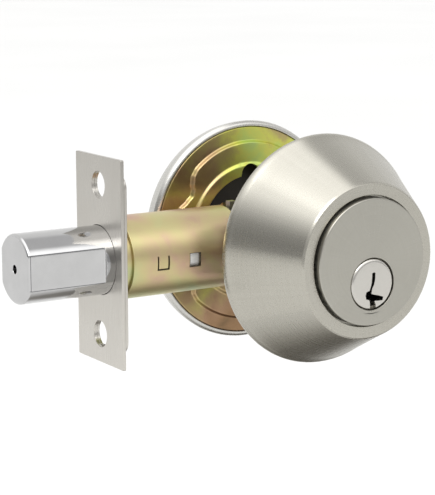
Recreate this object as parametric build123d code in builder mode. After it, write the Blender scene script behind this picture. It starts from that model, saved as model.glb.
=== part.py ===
# Single-cylinder tubular deadbolt for a door: keyed outside cylinder inside a tapered
# free-turning guard, tubular latch with a round bolt, and an inside thumbturn rose.
# Millimetres.  The origin is the centre of the door's cross bore, in the middle of the
# door's thickness: X runs along the bolt (the bolt leaves towards -X), -Y is the
# outside (keyed) face of the door, +Y is the inside face, +Z is up.
from build123d import *
import math
import os

os.makedirs("parts", exist_ok=True)

# ------------------------------------------------------------------ driving dimensions
DOOR_T = 36.8            # thickness of the door between the guard and the rose
BACKSET = 60.0           # faceplate front to cross-bore centre line
AXIS_Z = -6.0            # plug, tailpiece, crank and thumbturn axis, below the bolt's axis
YO = -DOOR_T / 2         # outside face of the door
YI = DOOR_T / 2          # inside face of the door

GUARD_R = 32.45          # largest radius of the outside guard
GUARD_FRONT_Y = -41.87   # flat front ring of the guard
GUARD_BORE_R = 18.25     # opening in the guard's front
GUARD_FLAT_R = 21.10     # outer edge of the flat front ring
GUARD_WALL = 1.70        # radial wall of the guard's cone

HEAD_Y = -43.62          # front of the cylinder's head disc
HEAD_R = 17.43
DRUM_R = 16.5            # cylinder body behind the head
DRUM_BACK_Y = -17.0
PLUG_R = 6.35
PLUG_BORE_R = 6.39
PLUG_HEAD_R = 7.10
PLUG_FRONT_Y = HEAD_Y - 0.20
PLUG_SEAT_Y = HEAD_Y + 1.30
PLUG_BACK_Y = -15.2
PIN_R = 1.42
PIN_BORE_R = 1.48
PIN_COUNT = 5
PIN_PITCH = 3.81
PIN_FIRST_Y = -35.9
SHEAR_Z = AXIS_Z + PLUG_R

POST_X = 21.0            # mounting screws, either side of the centre
POST_R = 3.4
SCREW_R = 2.0

PIN_TOP_Z = AXIS_Z + 6.17 # pin tops, low enough to turn inside the plug bore

PLATE_W = 25.4           # faceplate width
PLATE_H = 57.15          # faceplate height
PLATE_T = 1.0
BACK_T = 0.8
BACK_H = 48.4
FACE_SCREW_PITCH = 41.3
FACE_SCREW_R = 3.7

BOLT_R = 9.525
BOLT_THROW = 25.4
BOLT_L = 35.4
BOLT_FLAT = 8.3          # distance of each side flat from the bolt's axis
BOLT_FLAT_END_X = -62.6

TUBE_R = 11.5
TUBE_WALL = 0.8
TUBE_FRONT_X = -55.5
TUBE_BACK_X = -8.0
WIN_W = 3.2
WIN_H = 3.6
WIN_Z = -0.6
WIN1_X = -46.3           # lanced tongue
WIN2_X = -36.3           # open window, 10 mm further back

CRANK_R = BOLT_THROW / 2 / math.sin(math.radians(45))   # 17.96, tip radius of the crank
TIP_R = 1.5
TIP_X = -BOLT_THROW / 2
TIP_Z = AXIS_Z + BOLT_THROW / 2
YOKE_HALF = TIP_R + 0.64

ROSE_R = 32.46
ROSE_FACE_Y = 27.9
ROSE_WALL = 1.4
PLATE2_R = 30.7          # inside mounting plate
PLATE2_T = 1.0
PLATE2_HOLE_R = 16.6
RING_R = 26.8            # outer edge of the plate's pressed channel
STEP_R = 20.5            # inner edge of the plate's pressed channel
BLADE_W = 6.0
BLADE_T = 2.0


def at_y(y):
    """Plane facing the outside of the door at height y: local x is X, local y is Z."""
    return Plane(origin=(0, y, 0), x_dir=(1, 0, 0), z_dir=(0, -1, 0))


AXIS_LOW = Axis((0, 0, AXIS_Z), (0, 1, 0))
PLANE_LOW = Plane.XY.offset(AXIS_Z)


def save(part, name):
    part.label = name
    export_step(part, "parts/%s.step" % name)


# ==================================================================== outside cylinder
# Tapered guard: a hollow turned cone with a rounded rim that sits on the door.
slope = (31.75 - 21.55) / (41.45 - 21.20)
with BuildPart() as outer_guard:
    with BuildSketch(Plane.XY):
        with BuildLine():
            Polyline(
                (GUARD_BORE_R + 0.35, GUARD_FRONT_Y),
                (GUARD_FLAT_R, GUARD_FRONT_Y),
                (21.55, -41.45),
                (31.55, -21.60),
            )
            Spline(
                (31.55, -21.60), (32.20, -20.55), (GUARD_R, -19.60), (32.25, -18.80), (31.75, YO),
                tangents=((0.45, 0.893), (-1, 0)),
            )
            Polyline(
                (31.75, YO),
                (30.45, YO),
                (30.45, -20.80),
                (29.85, -21.60),
                (22.45 - GUARD_WALL, -39.60),
                (GUARD_BORE_R, -39.60),
                (GUARD_BORE_R, GUARD_FRONT_Y + 0.35),
                (GUARD_BORE_R + 0.35, GUARD_FRONT_Y),
            )
        make_face()
    revolve(axis=Axis.Y)
save(outer_guard.part, "outer_guard")

# Cylinder body: head disc, retaining shoulder behind the guard's front, drum with the
# plug bore and pin chambers, rear flange and two threaded posts.
with BuildPart() as cylinder_body:
    with BuildSketch(Plane.XY):
        with BuildLine():
            Polyline(
                (0, HEAD_Y), (HEAD_R - 0.45, HEAD_Y), (HEAD_R, HEAD_Y + 0.45), (HEAD_R, -39.40),
                (20.20, -39.40), (20.20, -37.00), (DRUM_R, -37.00), (DRUM_R, -24.00),
                (26.00, -24.00), (26.00, -20.60), (DRUM_R, -20.60), (DRUM_R, DRUM_BACK_Y),
                (0, DRUM_BACK_Y), (0, HEAD_Y),
            )
        make_face()
    revolve(axis=Axis.Y)
    with BuildSketch(at_y(-29.5)):
        with Locations((-POST_X, 0), (POST_X, 0)):
            Circle(POST_R + 0.6)
        Rectangle(2 * POST_X, 5.0)
    extrude(amount=-5.6)
    with BuildSketch(at_y(-24.0)):
        with Locations((-POST_X, 0), (POST_X, 0)):
            Circle(POST_R)
    extrude(amount=-11.2)
    with BuildSketch(at_y(HEAD_Y - 1)):
        with Locations((0, AXIS_Z)):
            Circle(PLUG_BORE_R)
    extrude(amount=-40, mode=Mode.SUBTRACT)
    with BuildSketch(at_y(HEAD_Y - 1)):
        with Locations((0, AXIS_Z)):
            Circle(PLUG_HEAD_R + 0.16)
    extrude(amount=-2.35, mode=Mode.SUBTRACT)
    with BuildSketch(at_y(-12.0)):
        with Locations((-POST_X, 0), (POST_X, 0)):
            Circle(SCREW_R + 0.03)
    extrude(amount=16.0, mode=Mode.SUBTRACT)
    # pin chambers, open at the top into the cover's slot
    with BuildSketch(Plane.XY.offset(AXIS_Z)):
        with Locations(*[(0, PIN_FIRST_Y + i * PIN_PITCH) for i in range(PIN_COUNT)]):
            Circle(PIN_BORE_R)
    extrude(amount=22, mode=Mode.SUBTRACT)
    with BuildSketch(Plane.XY.offset(12.4)):
        with Locations((0, PIN_FIRST_Y + 2 * PIN_PITCH)):
            Rectangle(4.4, 19.4)
    extrude(amount=16, mode=Mode.SUBTRACT)
save(cylinder_body.part, "cylinder_body")

# Key plug with its broached keyway, pin holes and the groove for its retaining ring.
KEYWAY = [
    (0.35, 3.25), (0.85, 3.10), (0.80, 1.40), (0.45, -0.10), (-0.15, -1.20), (-0.45, -2.60),
    (0.45, -3.00), (1.90, -3.60), (3.30, -4.55), (3.05, -5.15), (1.60, -4.75), (0.55, -4.60),
    (0.95, -5.60), (1.05, -6.60), (-0.75, -6.60), (-0.85, -5.20), (-1.05, -4.25), (-2.05, -3.95),
    (-2.25, -2.90), (-1.95, -1.95), (-1.05, -1.70), (-0.60, -0.50), (-0.35, 0.60), (-0.25, 1.80),
    (-0.20, 3.05),
]
with BuildPart() as key_plug:
    with BuildSketch(PLANE_LOW):
        with BuildLine():
            Polyline(
                (0, PLUG_FRONT_Y), (PLUG_HEAD_R - 0.35, PLUG_FRONT_Y), (PLUG_HEAD_R, PLUG_FRONT_Y + 0.35),
                (PLUG_HEAD_R, PLUG_SEAT_Y), (PLUG_R, PLUG_SEAT_Y), (PLUG_R, -16.90), (5.30, -16.90),
                (5.30, -16.10), (PLUG_R, -16.10), (PLUG_R, PLUG_BACK_Y), (0, PLUG_BACK_Y), (0, PLUG_FRONT_Y),
            )
        make_face()
    revolve(axis=AXIS_LOW)
    with BuildSketch(at_y(PLUG_FRONT_Y - 1)):
        with Locations((0, AXIS_Z)):
            with BuildLine():
                Polyline(*KEYWAY, close=True)
            make_face()
    extrude(amount=-(PLUG_BACK_Y + 3.0 - PLUG_FRONT_Y), mode=Mode.SUBTRACT)
    with BuildSketch(PLANE_LOW.offset(0.5)):
        with Locations(*[(0, PIN_FIRST_Y + i * PIN_PITCH) for i in range(PIN_COUNT)]):
            Circle(PIN_BORE_R)
    extrude(amount=8, mode=Mode.SUBTRACT)
save(key_plug.part, "key_plug")

# Five key pins of different lengths, tops at the shear line.
PIN_LENGTHS = [4.2, 5.0, 3.9, 5.4, 4.6]
with BuildPart() as key_pins:
    for i, length in enumerate(PIN_LENGTHS):
        with BuildSketch(Plane.XY.offset(PIN_TOP_Z - length + 0.7)):
            with Locations((0, PIN_FIRST_Y + i * PIN_PITCH)):
                Circle(PIN_R)
        extrude(amount=length - 0.7)
        with BuildSketch(Plane.XY.offset(PIN_TOP_Z - length + 0.7)):
            with Locations((0, PIN_FIRST_Y + i * PIN_PITCH)):
                Circle(PIN_R)
        extrude(amount=-0.7, taper=38)
save(key_pins.part, "key_pins")

with BuildPart() as driver_pins:
    with BuildSketch(Plane.XY.offset(SHEAR_Z + 0.14)):
        with Locations(*[(0, PIN_FIRST_Y + i * PIN_PITCH) for i in range(PIN_COUNT)]):
            Circle(PIN_R)
    extrude(amount=4.9)
save(driver_pins.part, "driver_pins")

# Chamber springs as plain sleeves of the coil's outer and inner size.
with BuildPart() as pin_springs:
    with BuildSketch(Plane.XY.offset(SHEAR_Z + 5.1)):
        with Locations(*[(0, PIN_FIRST_Y + i * PIN_PITCH) for i in range(PIN_COUNT)]):
            Circle(1.35)
            Circle(1.00, mode=Mode.SUBTRACT)
    extrude(amount=12.4 - (SHEAR_Z + 5.1))
save(pin_springs.part, "pin_springs")

with BuildPart() as pin_chamber_cover:
    with BuildSketch(Plane.XY.offset(12.42)):
        with Locations((0, PIN_FIRST_Y + 2 * PIN_PITCH)):
            Rectangle(4.3, 19.2)
    extrude(amount=1.5)
save(pin_chamber_cover.part, "pin_chamber_cover")

# Retaining ring in the groove at the back of the plug, open at the bottom.
with BuildPart() as plug_retainer:
    with BuildSketch(at_y(-16.80)):
        with Locations((0, AXIS_Z)):
            Circle(7.7)
            Circle(5.34, mode=Mode.SUBTRACT)
        with Locations((0, AXIS_Z - 7.0)):
            Rectangle(6.0, 8.0, mode=Mode.SUBTRACT)
    extrude(amount=-0.62)
save(plug_retainer.part, "plug_retainer")

# Tailpiece: a round foot against the plug and a flat blade to the thumbturn.
with BuildPart() as tailpiece:
    with BuildSketch(at_y(PLUG_BACK_Y + 0.15)):
        with Locations((0, AXIS_Z)):
            Circle(6.0)
    extrude(amount=-1.3)
    with BuildSketch(at_y(PLUG_BACK_Y + 1.0)):
        with Locations((0, AXIS_Z)):
            Rectangle(BLADE_T, BLADE_W)
    extrude(amount=-(27.0 - (PLUG_BACK_Y + 1.0)))
    fillet(tailpiece.edges().filter_by(Axis.Y).sort_by(Axis.Y)[-4:], radius=0.25)
save(tailpiece.part, "tailpiece")

# Adapter ring: centres the guard in the 54 mm bore and bears on the door.
with BuildPart() as adapter_ring:
    with BuildSketch(Plane.XY):
        with BuildLine():
            Polyline(
                (24.70, -20.50), (30.10, -20.50), (30.10, YO), (26.70, YO), (26.70, -13.50),
                (25.60, -13.50), (25.60, -19.30), (24.70, -19.30), (24.70, -20.50),
            )
        make_face()
    revolve(axis=Axis.Y)
save(adapter_ring.part, "adapter_ring")

# ================================================================================ latch
with BuildPart() as faceplate:
    with BuildSketch(Plane.YZ.offset(-BACKSET)):
        Rectangle(PLATE_W, PLATE_H)
        Circle(BOLT_R + 0.09, mode=Mode.SUBTRACT)
        with Locations((0, FACE_SCREW_PITCH / 2), (0, -FACE_SCREW_PITCH / 2)):
            Circle(FACE_SCREW_R, mode=Mode.SUBTRACT)
    extrude(amount=PLATE_T)
    fillet(faceplate.edges().filter_by(Axis.X), radius=0.35)
save(faceplate.part, "faceplate")

SLEEVE_R = TUBE_R - TUBE_WALL - 0.05
with BuildPart() as back_plate:
    with BuildSketch(Plane.YZ.offset(-BACKSET + PLATE_T)):
        RectangleRounded(PLATE_W, BACK_H, 3.4)
        Circle(SLEEVE_R + 0.05, mode=Mode.SUBTRACT)
        with Locations((0, FACE_SCREW_PITCH / 2), (0, -FACE_SCREW_PITCH / 2)):
            Circle(FACE_SCREW_R, mode=Mode.SUBTRACT)
    extrude(amount=BACK_T)
save(back_plate.part, "back_plate")

# Front sleeve: staked through the back plate against the faceplate, guides the bolt.
SLEEVE_X0 = -BACKSET + PLATE_T
with BuildPart() as front_sleeve:
    with BuildSketch(Plane.YZ.offset(SLEEVE_X0)):
        Circle(SLEEVE_R)
        Circle(BOLT_R + 0.09, mode=Mode.SUBTRACT)
    extrude(amount=-41.0 - SLEEVE_X0)
save(front_sleeve.part, "front_sleeve")

# Latch tube with the backset marks: a lanced square tongue and, 10 mm on, an open
# square window; at the back a top slot for the crank and cross holes for the screw.
with BuildPart() as latch_tube:
    with BuildSketch(Plane.YZ.offset(TUBE_FRONT_X)):
        Circle(TUBE_R)
        Circle(TUBE_R - TUBE_WALL, mode=Mode.SUBTRACT)
    extrude(amount=TUBE_BACK_X - TUBE_FRONT_X)
    with BuildSketch(at_y(-13)):
        with Locations((WIN2_X, WIN_Z)):
            Rectangle(WIN_W, WIN_H)
        with Locations((WIN1_X - WIN_W / 2, WIN_Z), (WIN1_X + WIN_W / 2, WIN_Z)):
            Rectangle(0.3, WIN_H)
        with Locations((WIN1_X, WIN_Z - WIN_H / 2 + 0.15)):
            Rectangle(WIN_W, 0.3)
    extrude(amount=-8, mode=Mode.SUBTRACT)
    with BuildSketch(at_y(-14)):
        with Locations((-POST_X, 0)):
            Circle(SCREW_R + 0.6)
    extrude(amount=-28, mode=Mode.SUBTRACT)
    with BuildSketch(Plane.XY.offset(2)):
        with Locations((-12.25, 0)):
            Rectangle(16.5, 10.0)
    extrude(amount=12, mode=Mode.SUBTRACT)
save(latch_tube.part, "latch_tube")

# Backset sleeve: bright inner sleeve seen through the open window.
with BuildPart() as backset_sleeve:
    with BuildSketch(Plane.YZ.offset(-40.5)):
        Circle(TUBE_R - TUBE_WALL - 0.05)
        Circle(BOLT_R + 0.25, mode=Mode.SUBTRACT)
    extrude(amount=14.5)
save(backset_sleeve.part, "backset_sleeve")

# Crank case: two half shells clamped over the back of the tube.
CASE_X0, CASE_X1 = -17.0, 18.5
for side, name in ((-1, "case_left"), (1, "case_right")):
    with BuildPart() as case_half:
        with BuildSketch(Plane.YZ.offset(CASE_X0)):
            Circle(12.4)
            Circle(TUBE_R + 0.02, mode=Mode.SUBTRACT)
            with Locations((-side * 20, 0)):
                Rectangle(40.06, 60, mode=Mode.SUBTRACT)
        extrude(amount=CASE_X1 - CASE_X0)
        with BuildSketch(Plane.YZ.offset(CASE_X1 - 0.8)):
            Circle(12.4)
            with Locations((-side * 20, 0)):
                Rectangle(40.06, 60, mode=Mode.SUBTRACT)
        extrude(amount=0.8)
        with BuildSketch(Plane.XY.offset(2)):
            with Locations((1.0, 0)):
                Rectangle(37.0, 10.0)
        extrude(amount=12, mode=Mode.SUBTRACT)
        with BuildSketch(at_y(-14)):
            with Locations((0, AXIS_Z)):
                Circle(4.56)
            with Locations((-12.5, 0)):
                Circle(1.02)
        extrude(amount=-28, mode=Mode.SUBTRACT)
    save(case_half.part, name)

# Rivets join the case to the tube on each side.
with BuildPart() as case_rivets:
    for side in (-1, 1):
        with BuildSketch(at_y(side * 10.3)):
            with Locations((-12.5, 0)):
                Circle(1.0)
        extrude(amount=-side * 2.2)
        with BuildSketch(at_y(side * 12.42)):
            with Locations((-12.5, 0)):
                Circle(1.7)
        extrude(amount=-side * 0.6)
save(case_rivets.part, "case_rivets")

# Rivet holes through the tube are cut once the rivets are known.
with BuildPart() as latch_tube_drilled:
    add(latch_tube.part)
    with BuildSketch(at_y(-14)):
        with Locations((-12.5, 0)):
            Circle(1.02)
    extrude(amount=-28, mode=Mode.SUBTRACT)
save(latch_tube_drilled.part, "latch_tube")

# Bolt: round bar with two side flats, a slotted tail and a bore for the hardened pin.
BOLT_X0 = -BACKSET - BOLT_THROW
BOLT_X1 = BOLT_X0 + BOLT_L
BAR_Z0, BAR_Z1 = 3.2, 8.2
BAR_Y0, BAR_Y1 = 1.5, 3.5
with BuildPart() as bolt:
    with BuildSketch(Plane.XY):
        with BuildLine():
            Polyline(
                (BOLT_X0, 0), (BOLT_X0, BOLT_R - 0.8), (BOLT_X0 + 0.8, BOLT_R), (BOLT_X1 - 0.5, BOLT_R),
                (BOLT_X1, BOLT_R - 0.5), (BOLT_X1, 0), (BOLT_X0, 0),
            )
        make_face()
    revolve(axis=Axis.X)
    with BuildSketch(at_y(0)):
        with Locations(((BOLT_X0 + BOLT_FLAT_END_X) / 2 - 1, 0)):
            Rectangle(BOLT_FLAT_END_X - BOLT_X0 + 2, 24)
    extrude(amount=12, both=True, mode=Mode.SUBTRACT)
    with BuildSketch(Plane.YZ.offset(BOLT_X0)):
        Circle(BOLT_R)
        with Locations((BOLT_FLAT + 4, 0), (-BOLT_FLAT - 4, 0)):
            Rectangle(8, 24, mode=Mode.SUBTRACT)
        Circle(1.2, mode=Mode.SUBTRACT)
    extrude(amount=BOLT_FLAT_END_X - BOLT_X0)
    chamfer(bolt.faces().sort_by(Axis.X)[0].outer_wire().edges(), length=0.8)
    with BuildSketch(Plane.YZ.offset(BOLT_X0 - 1)):
        Circle(1.2)
    extrude(amount=30, mode=Mode.SUBTRACT)
    with BuildSketch(Plane.YZ.offset(BOLT_X1 - 3.2)):
        with Locations(((BAR_Y0 + BAR_Y1) / 2, (BAR_Z0 + BAR_Z1) / 2)):
            Rectangle(BAR_Y1 - BAR_Y0 + 0.1, BAR_Z1 - BAR_Z0 + 0.1)
    extrude(amount=6, mode=Mode.SUBTRACT)
    with BuildSketch(at_y(-2.5)):
        with Locations((BOLT_X1 - 1.7, (BAR_Z0 + BAR_Z1) / 2)):
            Circle(0.92)
    extrude(amount=-14, mode=Mode.SUBTRACT)
save(bolt.part, "bolt")

# Hardened anti-saw pin in the bolt's bore.
with BuildPart() as saw_guard_pin:
    with BuildSketch(Plane.YZ.offset(BOLT_X0 + 2.4)):
        Circle(1.15)
    extrude(amount=26.2)
save(saw_guard_pin.part, "saw_guard_pin")

# Draw bar: from the bolt's tail over the crank, with an open-topped yoke.
with BuildPart() as bolt_bar:
    with BuildSketch(at_y(BAR_Y0)):
        with BuildLine():
            Polyline(
                (BOLT_X1 - 3.1, BAR_Z0), (TIP_X + YOKE_HALF + 2.1, BAR_Z0), (TIP_X + YOKE_HALF + 2.1, 12.1),
                (TIP_X + YOKE_HALF, 12.1), (TIP_X + YOKE_HALF, 4.9), (TIP_X - YOKE_HALF, 4.9),
                (TIP_X - YOKE_HALF, 12.1), (TIP_X - YOKE_HALF - 2.1, 12.1), (TIP_X - YOKE_HALF - 2.1, BAR_Z1),
                (BOLT_X1 - 3.1, BAR_Z1), close=True,
            )
        make_face()
        with Locations((BOLT_X1 - 1.7, (BAR_Z0 + BAR_Z1) / 2)):
            Circle(0.92, mode=Mode.SUBTRACT)
    extrude(amount=-(BAR_Y1 - BAR_Y0))
save(bolt_bar.part, "bolt_bar")

with BuildPart() as bar_pin:
    with BuildSketch(at_y(-2.4)):
        with Locations((BOLT_X1 - 1.7, (BAR_Z0 + BAR_Z1) / 2)):
            Circle(0.9)
    extrude(amount=-8.9)
save(bar_pin.part, "bar_pin")

# Crank: hub with journals in both case halves, arm and drive pin, slotted for the blade.
with BuildPart() as cam_hub:
    with BuildSketch(at_y(-11.3)):
        with Locations((0, AXIS_Z)):
            Circle(4.5)
    extrude(amount=-22.6)
    with BuildSketch(at_y(-1.2)):
        with Locations((0, AXIS_Z)):
            Circle(5.0)
        with Locations((TIP_X, TIP_Z)):
            Circle(2.0)
        make_hull()
    extrude(amount=-2.4)
    with BuildSketch(at_y(-1.2)):
        with Locations((TIP_X, TIP_Z)):
            Circle(TIP_R)
    extrude(amount=-5.1)
    with BuildSketch(at_y(-12)):
        with Locations((0, AXIS_Z)):
            Rectangle(BLADE_T + 0.3, BLADE_W + 0.3)
    extrude(amount=-24, mode=Mode.SUBTRACT)
save(cam_hub.part, "cam_hub")

# ========================================================================== inside rose
# Mounting plate: pressed sheet.  Two fans, above and below the centre, are pressed towards
# the door so that they centre in its bore, in two steps; the pads at the screws stay flat.
# A central hole has two clearance notches, and there is one screw hole each side.
PLATE2_Y0 = YI
PRESS1 = 1.20            # height of the outer step above the rim, towards the door
PRESS2 = 1.90            # height of the inner step
DIP = [(26.8, 132.0), (26.3, 137.0), (25.1, 141.5), (23.6, 145.5), (23.1, 149.5), (23.8, 154.0), (25.6, 163.0)]


def pol(r, a):
    return (r * math.cos(math.radians(a)), r * math.sin(math.radians(a)))


def fan(dips, r_top, r_low, a_low, up):
    """Outline of a pressed fan between the radii r_low and r_top, mirrored below for up = -1."""
    left = [(pol(r, a)[0], up * pol(r, a)[1]) for r, a in dips]
    right = [(-x, z) for x, z in left]
    i0 = (pol(r_low, a_low)[0], up * pol(r_low, a_low)[1])
    i1 = (-i0[0], i0[1])
    if len(left) > 1:
        Polyline(*left)
        Polyline(*right)
    ThreePointArc(left[0], (0, up * r_top), right[0])
    Line(left[-1], i0)
    Line(right[-1], i1)
    ThreePointArc(i0, (0, up * r_low), i1)


with BuildPart() as mounting_plate:
    with BuildSketch(at_y(PLATE2_Y0)):
        Circle(PLATE2_R)
    extrude(amount=-PLATE2_T)
    for up in (1, -1):
        # door side of the two steps
        with BuildSketch(at_y(PLATE2_Y0 - PRESS1)):
            with BuildLine():
                fan(DIP, RING_R, 14.0, 160.0, up)
            make_face()
        extrude(amount=-PRESS1 - 0.5)
        with BuildSketch(at_y(PLATE2_Y0 - PRESS2)):
            with BuildLine():
                fan([(STEP_R, 158.0)], STEP_R, 14.0, 158.0, up)
            make_face()
        extrude(amount=-PRESS2 - 0.5)
    for up in (1, -1):
        # hollow on the room side, one sheet thickness inside
        inner = [(r - 1.0, a - (2.4 if a > 150 else 0.0)) for r, a in DIP]
        with BuildSketch(at_y(PLATE2_Y0 - PRESS1 + PLATE2_T)):
            with BuildLine():
                fan(inner, RING_R - 1.0, 14.0, 157.0, up)
            make_face()
        extrude(amount=-4, mode=Mode.SUBTRACT)
        with BuildSketch(at_y(PLATE2_Y0 - PRESS2 + PLATE2_T)):
            with BuildLine():
                fan([(STEP_R - 1.0, 154.5)], STEP_R - 1.0, 14.0, 154.5, up)
            make_face()
        extrude(amount=-4, mode=Mode.SUBTRACT)
    with BuildSketch(at_y(PLATE2_Y0 - 6)):
        Circle(PLATE2_HOLE_R)
        with Locations((0, 16.8), (0, -16.8)):
            Circle(3.1)
        with Locations((0, 0)):
            Rectangle(6.2, 33.6)
        with Locations((-POST_X, 0), (POST_X, 0)):
            Circle(SCREW_R + 0.25)
    extrude(amount=-12, mode=Mode.SUBTRACT)
save(mounting_plate.part, "mounting_plate")

# Rose: shallow dished cover over the plate.
with BuildPart() as rose_cover:
    with BuildSketch(Plane.XY):
        with BuildLine():
            Polyline((PLATE2_R + 0.12, YI), (31.95, YI), (ROSE_R, YI + 0.5), (ROSE_R, YI + 1.2))
            Spline((ROSE_R, YI + 1.2), (31.95, 22.4), (30.80, 25.0), (28.60, 27.1), (26.00, ROSE_FACE_Y),
                   tangents=((0, 1), (-1, 0)))
            Polyline(
                (26.00, ROSE_FACE_Y), (0, ROSE_FACE_Y), (0, ROSE_FACE_Y - ROSE_WALL),
                (25.60, ROSE_FACE_Y - ROSE_WALL), (28.40, 25.1), (29.90, 23.2), (PLATE2_R - 0.3, 20.6),
                (PLATE2_R - 0.3, 19.6), (PLATE2_R + 0.12, 19.45), (PLATE2_R + 0.12, YI),
            )
        make_face()
    revolve(axis=Axis.Y)
    with BuildSketch(at_y(24)):
        with Locations((0, AXIS_Z)):
            Circle(7.0)
    extrude(amount=-8, mode=Mode.SUBTRACT)
save(rose_cover.part, "rose_cover")

# Black nylon bearing for the thumbturn's spindle, with room for the two screw heads.
with BuildPart() as turn_bearing:
    with BuildSketch(at_y(21.9)):
        Circle(22.5)
        with Locations((0, AXIS_Z)):
            Circle(6.06, mode=Mode.SUBTRACT)
        with Locations((-POST_X, 0), (POST_X, 0)):
            Circle(5.0, mode=Mode.SUBTRACT)
    extrude(amount=-4.5)
save(turn_bearing.part, "turn_bearing")

with BuildPart() as turn_spindle:
    with BuildSketch(PLANE_LOW):
        with BuildLine():
            Polyline(
                (0, 20.3), (5.6, 20.3), (6.0, 20.7), (6.0, 21.0), (5.0, 21.0), (5.0, 21.5), (6.0, 21.5),
                (6.0, 31.0), (0, 31.0), (0, 20.3),
            )
        make_face()
    revolve(axis=AXIS_LOW)
    with BuildSketch(at_y(20.0)):
        with Locations((0, AXIS_Z)):
            Rectangle(BLADE_T + 0.3, BLADE_W + 0.3)
    extrude(amount=-7.5, mode=Mode.SUBTRACT)
save(turn_spindle.part, "turn_spindle")

with BuildPart() as spindle_clip:
    with BuildSketch(at_y(21.05)):
        with Locations((0, AXIS_Z)):
            Circle(8.0)
            Circle(5.04, mode=Mode.SUBTRACT)
        with Locations((0, AXIS_Z - 7.0)):
            Rectangle(5.0, 8.0, mode=Mode.SUBTRACT)
    extrude(amount=-0.40)
save(spindle_clip.part, "spindle_clip")

with BuildPart() as wave_washer:
    with BuildSketch(at_y(21.55)):
        with Locations((0, AXIS_Z)):
            Circle(8.8)
            Circle(6.3, mode=Mode.SUBTRACT)
    extrude(amount=-0.30)
save(wave_washer.part, "wave_washer")

# Thumbturn: round foot and a waisted finger grip, level when the bolt is out.
with BuildPart() as thumbturn:
    with BuildSketch(at_y(ROSE_FACE_Y + 0.3)):
        with Locations((0, AXIS_Z)):
            Circle(11.0)
    extrude(amount=-3.0)
    fillet(thumbturn.faces().sort_by(Axis.Y)[-1].edges(), radius=0.9)
    with BuildSketch(at_y(ROSE_FACE_Y + 2.5)):
        with Locations((0, AXIS_Z)):
            with BuildLine():
                Spline(
                    (-17.0, 0), (-15.6, 3.2), (-12.0, 4.4), (-6.0, 3.8), (0, 3.4), (6.0, 3.8), (12.0, 4.4), (15.6, 3.2),
                    (17.0, 0), (15.6, -3.2), (12.0, -4.4), (6.0, -3.8), (0, -3.4), (-6.0, -3.8), (-12.0, -4.4), (-15.6, -3.2),
                    periodic=True,
                )
            make_face()
    extrude(amount=-17.6)
    fillet(thumbturn.faces().sort_by(Axis.Y)[-1].edges(), radius=1.2)
    with BuildSketch(at_y(ROSE_FACE_Y)):
        with Locations((0, AXIS_Z)):
            Circle(6.02)
    extrude(amount=-3.15, mode=Mode.SUBTRACT)
save(thumbturn.part, "thumbturn")

# Two long machine screws from the mounting plate into the cylinder's posts.
with BuildPart() as mounting_screws:
    with BuildSketch(at_y(YI + PLATE2_T + 2.1)):
        with Locations((-POST_X, 0), (POST_X, 0)):
            Circle(3.9)
    extrude(amount=2.1)
    fillet(mounting_screws.faces().filter_by(Axis.Y).sort_by(Axis.Y)[-2:].edges(), radius=0.9)
    with BuildSketch(at_y(YI + PLATE2_T)):
        with Locations((-POST_X, 0), (POST_X, 0)):
            Circle(SCREW_R)
    extrude(amount=46.2)
    with BuildSketch(at_y(YI + PLATE2_T + 2.2)):
        with Locations((-POST_X, 0), (POST_X, 0)):
            Rectangle(3.6, 0.9)
            Rectangle(0.9, 3.6)
    extrude(amount=1.3, mode=Mode.SUBTRACT)
save(mounting_screws.part, "mounting_screws")

print("crank tip radius", round(CRANK_R, 3), "travel", BOLT_THROW)
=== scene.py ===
import math
import bpy
import bmesh
from mathutils import Matrix, Vector, geometry


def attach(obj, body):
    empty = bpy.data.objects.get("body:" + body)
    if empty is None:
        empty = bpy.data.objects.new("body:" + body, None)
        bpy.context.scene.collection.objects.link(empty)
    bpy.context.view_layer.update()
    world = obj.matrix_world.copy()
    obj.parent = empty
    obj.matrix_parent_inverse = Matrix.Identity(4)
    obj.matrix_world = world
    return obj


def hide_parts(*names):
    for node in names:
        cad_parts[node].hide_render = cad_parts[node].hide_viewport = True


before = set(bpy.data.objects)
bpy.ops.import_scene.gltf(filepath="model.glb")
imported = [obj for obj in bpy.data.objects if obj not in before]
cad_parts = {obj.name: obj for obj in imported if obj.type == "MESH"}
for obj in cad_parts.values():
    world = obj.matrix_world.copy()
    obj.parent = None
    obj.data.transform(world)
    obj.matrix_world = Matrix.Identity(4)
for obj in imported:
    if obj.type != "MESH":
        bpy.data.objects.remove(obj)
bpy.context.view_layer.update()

S = 0.001                     # all shapes below are written in millimetres
scene = bpy.context.scene
AXIS_Z = -6.0                 # plug and thumbturn axis, below the bolt's axis


# ------------------------------------------------------------------ mesh helpers
def shade(me, sharp=32.0):
    me.shade_smooth()
    me.set_sharp_from_angle(angle=math.radians(sharp))


def add_mesh(name, verts, faces, sharp=32.0):
    me = bpy.data.meshes.new(name)
    me.from_pydata([(v[0] * S, v[1] * S, v[2] * S) for v in verts], [], faces)
    bm = bmesh.new()
    bm.from_mesh(me)
    bmesh.ops.remove_doubles(bm, verts=bm.verts, dist=5e-7)
    bmesh.ops.recalc_face_normals(bm, faces=bm.faces)
    bm.to_mesh(me)
    bm.free()
    shade(me, sharp)
    o = bpy.data.objects.new(name, me)
    scene.collection.objects.link(o)
    return o


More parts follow.
